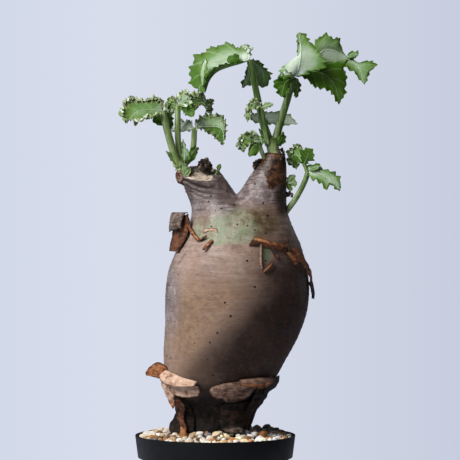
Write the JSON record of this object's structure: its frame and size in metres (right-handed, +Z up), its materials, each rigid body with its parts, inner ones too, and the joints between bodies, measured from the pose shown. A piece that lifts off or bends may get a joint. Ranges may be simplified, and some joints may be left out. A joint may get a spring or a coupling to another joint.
{
  "type": "potted caudex plant",
  "caption": "Potted cyphostemma: swollen two-horned caudex with peeling bark and crisped green leaves, in a round black nursery pot topped with gravel.",
  "frame": {"origin": "centre of the pot's flat base", "axes": "+Z up along the pot's axis, +X to the right in the picture, -Y towards the viewer"},
  "size_m": [0.1402, 0.09, 0.3068],
  "materials": {
    "black_plastic": "matt moulded plastic",
    "potting_mix": "dry crumbly mix",
    "gravel": "dry, rough, mixed cream to tan",
    "caudex_skin": "satin bark, tan to purple brown, green near the fork",
    "leaf_green": "matt bloom over green",
    "dry_bark": "dry papery bark, pale face and dark back"
  },
  "bodies": {
    "root": {"pot": "black_plastic", "potting_soil": "potting_mix", "gravel_dressing": "gravel", "caudex": "caudex_skin", "leafy_shoot_right": "leaf_green", "leafy_shoot_left": "leaf_green", "leaf_inner": "leaf_green", "leaf_side": "leaf_green", "bud_side": "leaf_green", "bud_left": "leaf_green", "bark_tab_left": "dry_bark", "bark_plate_left": "dry_bark", "bark_strip_left": "dry_bark", "bark_plate_front": "dry_bark", "bark_fold_right": "dry_bark", "bark_plate_low": "dry_bark", "bark_flap_shoulder": "dry_bark", "bark_curl_shoulder": "dry_bark", "bark_curl_front": "dry_bark", "bark_edge_right": "dry_bark", "bark_window_left": "dry_bark", "bark_window_right": "dry_bark", "bark_strip_right": "dry_bark", "bark_tag_right": "dry_bark", "bark_skirt_back_right": "dry_bark", "bark_skirt_back": "dry_bark", "bark_skirt_back_left": "dry_bark"}
  },
  "joints": []
}
